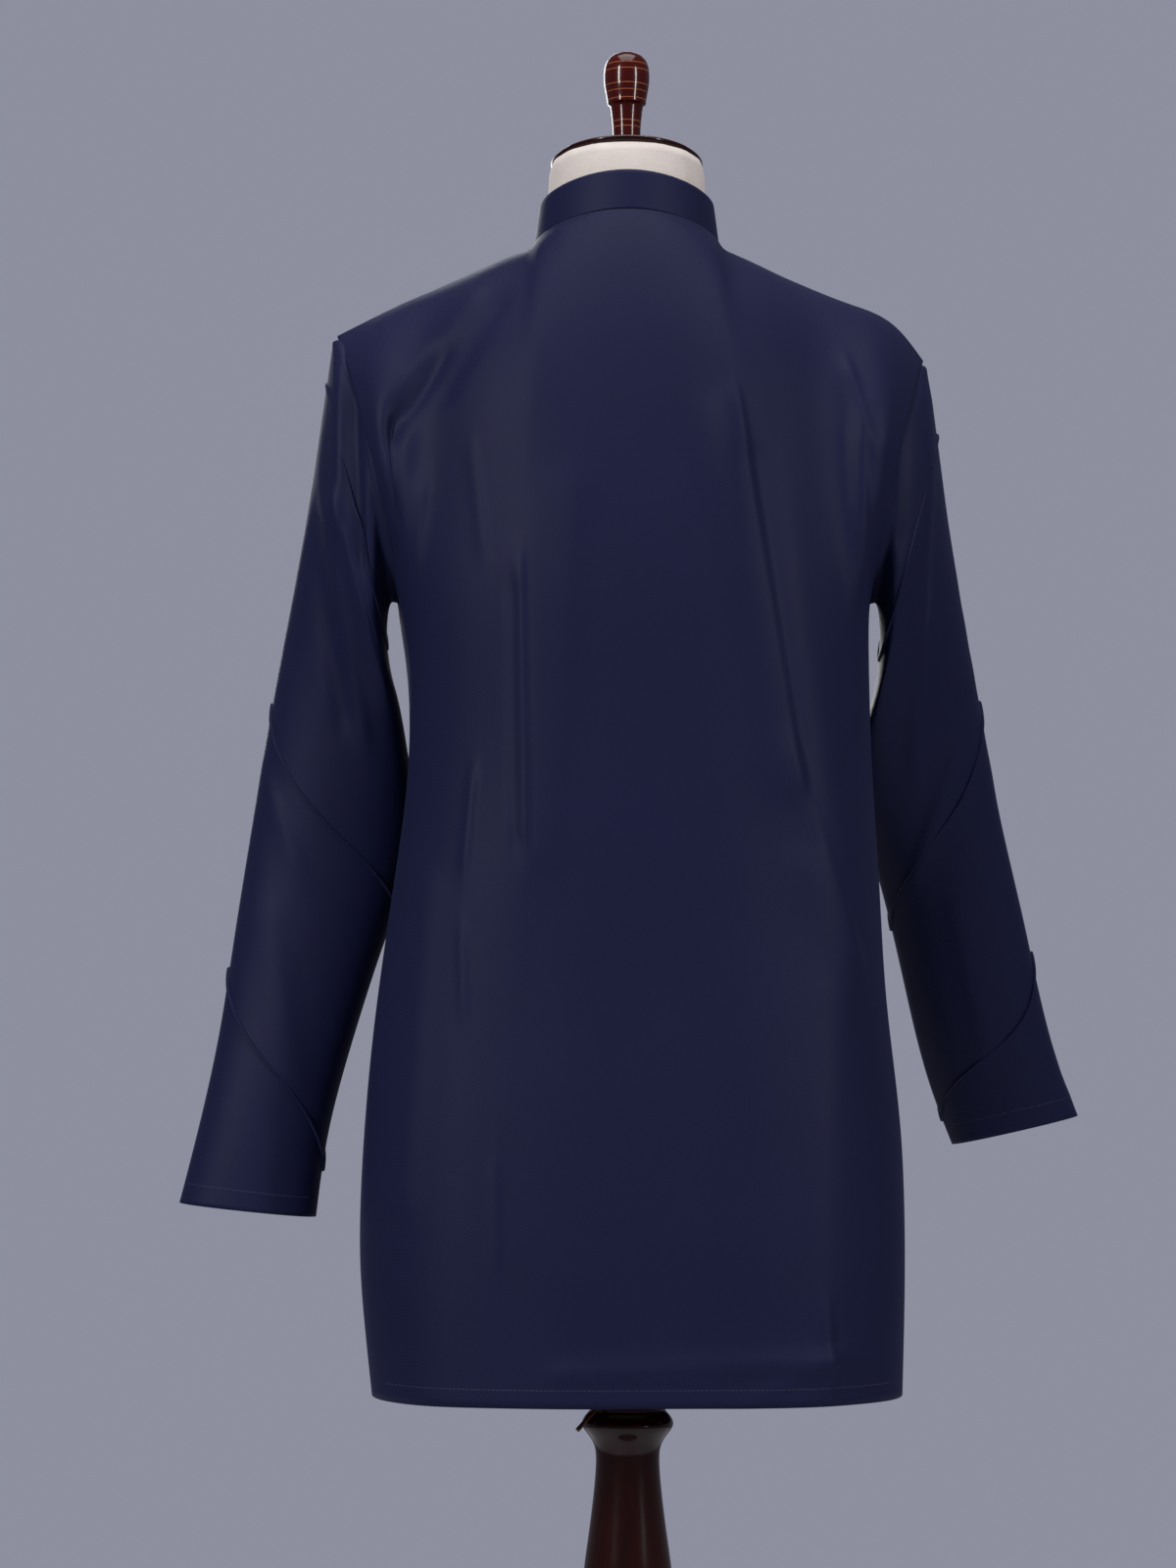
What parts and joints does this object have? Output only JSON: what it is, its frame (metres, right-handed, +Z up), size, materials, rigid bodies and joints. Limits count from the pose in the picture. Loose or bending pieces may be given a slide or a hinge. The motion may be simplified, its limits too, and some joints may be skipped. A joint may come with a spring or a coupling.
{
  "type": "short kurta on a dress form",
  "caption": "Navy short kurta with long tucked sleeves and a plain band collar, worn by a limbless dress form on a turned wooden stand.",
  "frame": {"origin": "middle of the round foot's underside, on the floor", "axes": "+Z up the stand; the wearer faces -Y and the wearer's left is +X"},
  "size_m": [0.71, 0.457, 1.624],
  "materials": {
    "cloth": "matte",
    "cover": "matte",
    "button": "gloss",
    "wood": "gloss"
  },
  "bodies": {
    "root": {"kurta_back": "cloth", "kurta_front": "cloth", "collar": "cloth", "sleeve_left": "cloth", "sleeve_right": "cloth", "tuck_left_1": "cloth", "tuck_left_2": "cloth", "tuck_left_3": "cloth", "tuck_right_1": "cloth", "tuck_right_2": "cloth", "tuck_right_3": "cloth", "placket": "cloth", "button_1": "button", "button_2": "button", "button_3": "button", "form_torso": "cover", "neck_cap": "wood", "handle": "wood", "pillar": "wood", "base": "wood", "lock_peg": "wood"}
  },
  "joints": []
}
